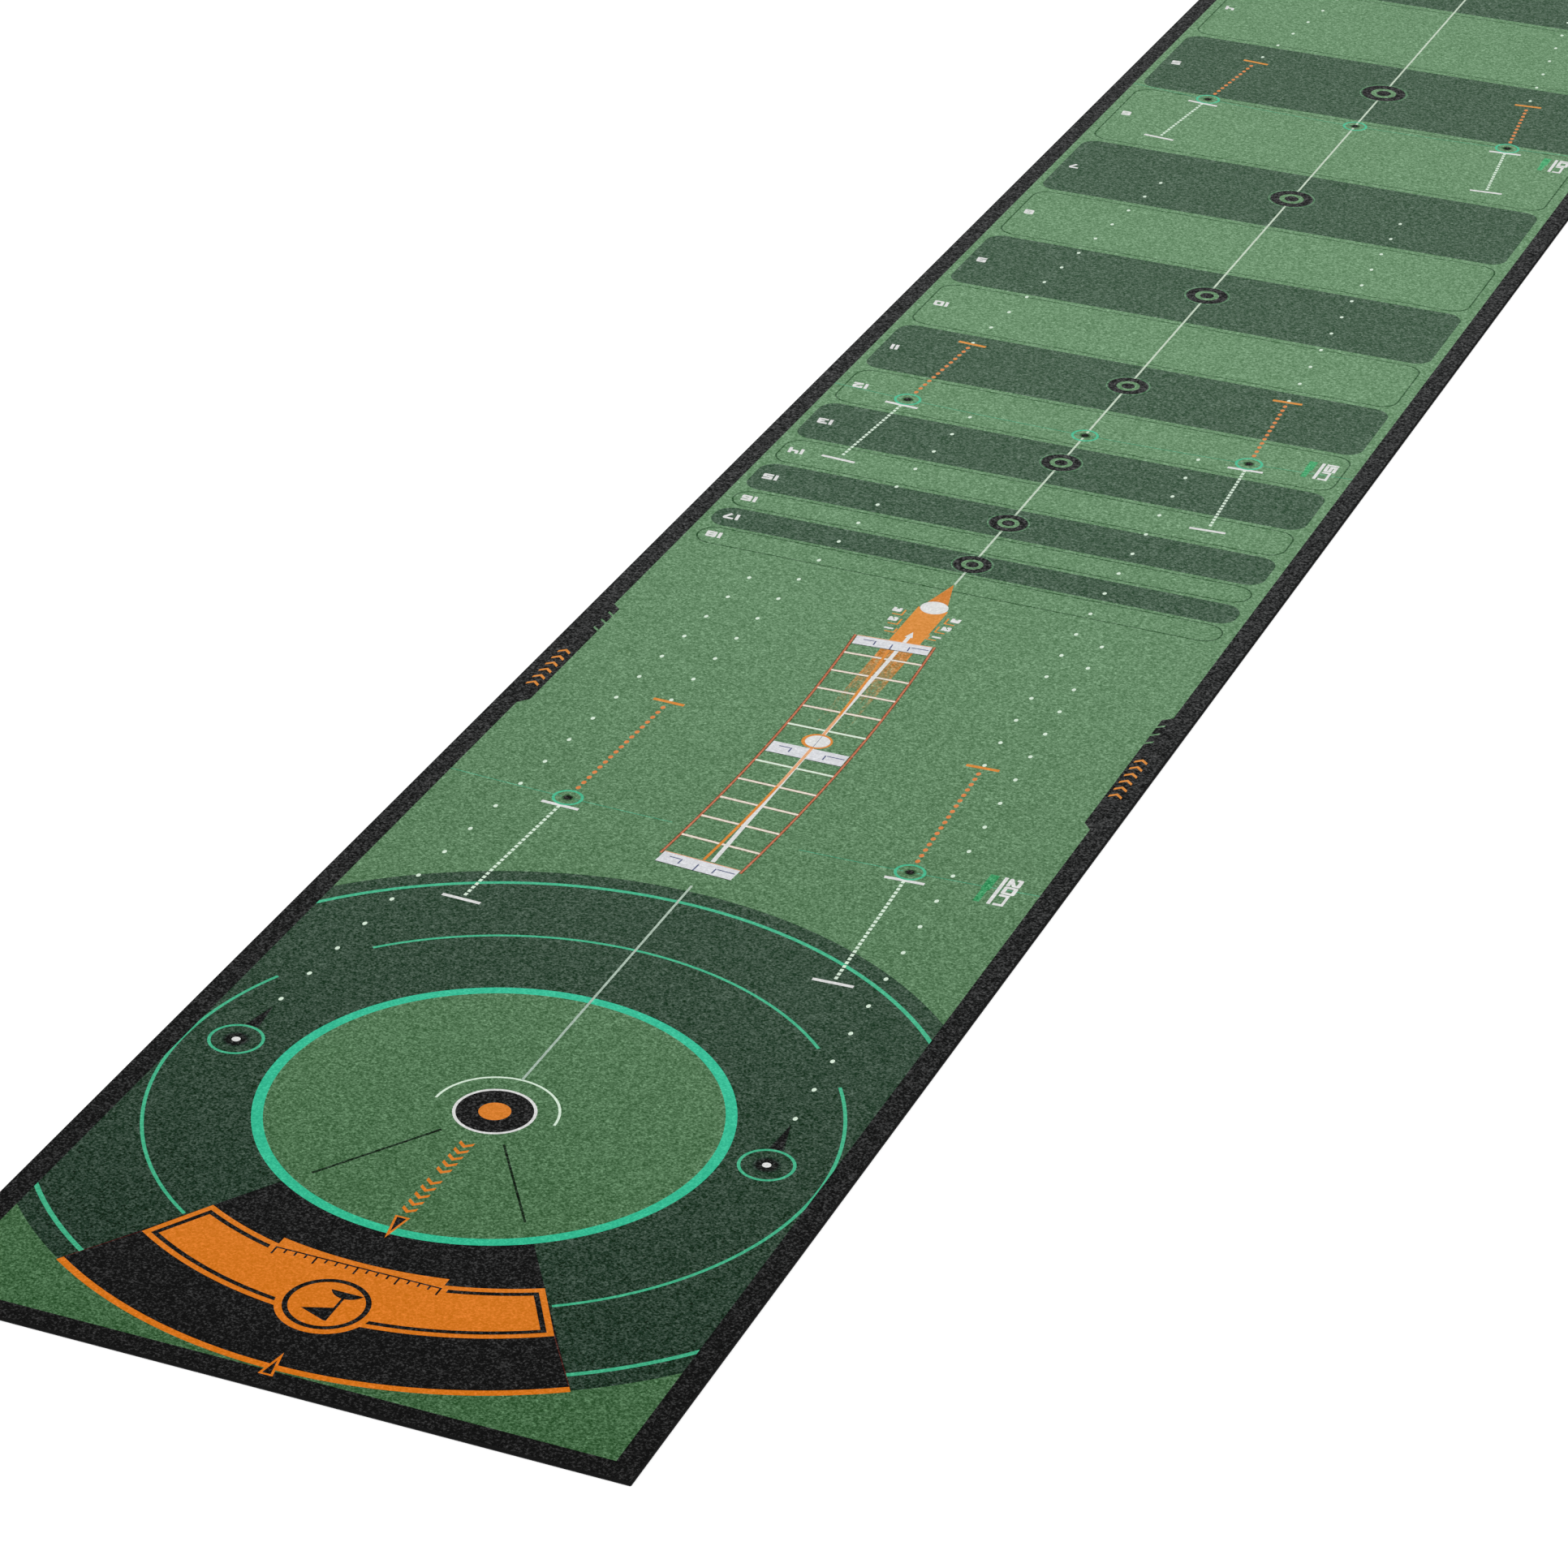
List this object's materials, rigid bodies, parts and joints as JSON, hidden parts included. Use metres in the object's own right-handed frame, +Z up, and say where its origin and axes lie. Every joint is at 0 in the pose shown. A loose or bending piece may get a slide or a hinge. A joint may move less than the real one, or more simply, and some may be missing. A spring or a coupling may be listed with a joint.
{
  "type": "practice putting mat",
  "caption": "Flat roll-out practice putting mat: short printed pile on cloth, bonded to a rubber backing, laid out straight.",
  "frame": {"origin": "middle of the mat's underside, on the floor", "axes": "+X across the mat to the right seen from the target end, +Y along the mat from the target end to the hole end, +Z up"},
  "size_m": [0.95, 8, 0.0045],
  "materials": {
    "nitrile_rubber": "black nitrile rubber with a fine moulded grain underneath and a smooth cut edge",
    "woven_backing": "black woven polyester cloth, seen only as a line in the edge",
    "printed_pile": "short dense cut pile, printed in greens, black, turquoise, orange and white"
  },
  "bodies": {
    "root": {"rubber_base": "nitrile_rubber", "backing_cloth": "woven_backing", "printed_pile": "printed_pile"}
  },
  "joints": []
}
